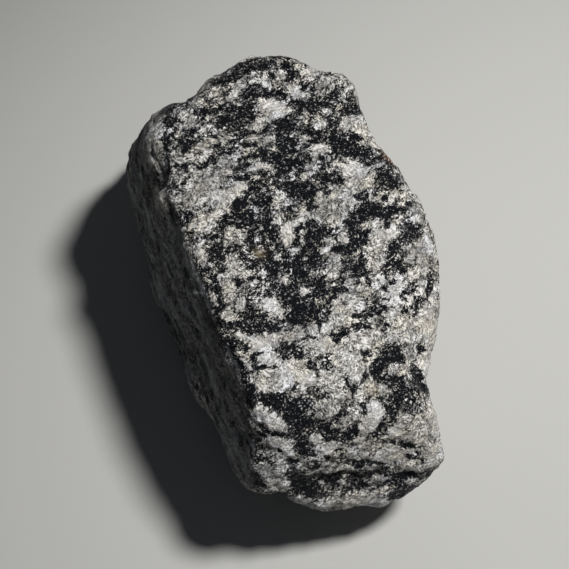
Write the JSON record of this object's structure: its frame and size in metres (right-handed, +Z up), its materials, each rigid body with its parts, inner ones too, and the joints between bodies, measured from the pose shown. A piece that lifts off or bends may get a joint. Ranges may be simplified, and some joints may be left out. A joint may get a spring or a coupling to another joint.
{
  "type": "granodiorite stone",
  "caption": "Hand-sized block of granodiorite with a broad top, a steep flank and a broken front; rests on a small flat spot as a specimen, prop or paperweight.",
  "frame": {"origin": "on the flat spot that the stone rests on, under the middle of the stone", "axes": "+Z up, away from the surface it rests on; +Y along the stone's long side, towards its high end; the broken front faces -Y"},
  "size_m": [0.0608, 0.0949, 0.044],
  "materials": {
    "granodiorite": "rough broken stone, salt-and-pepper grey: white feldspar, grey quartz, black biotite"
  },
  "bodies": {
    "root": {"granodiorite_stone": "granodiorite"}
  },
  "joints": []
}
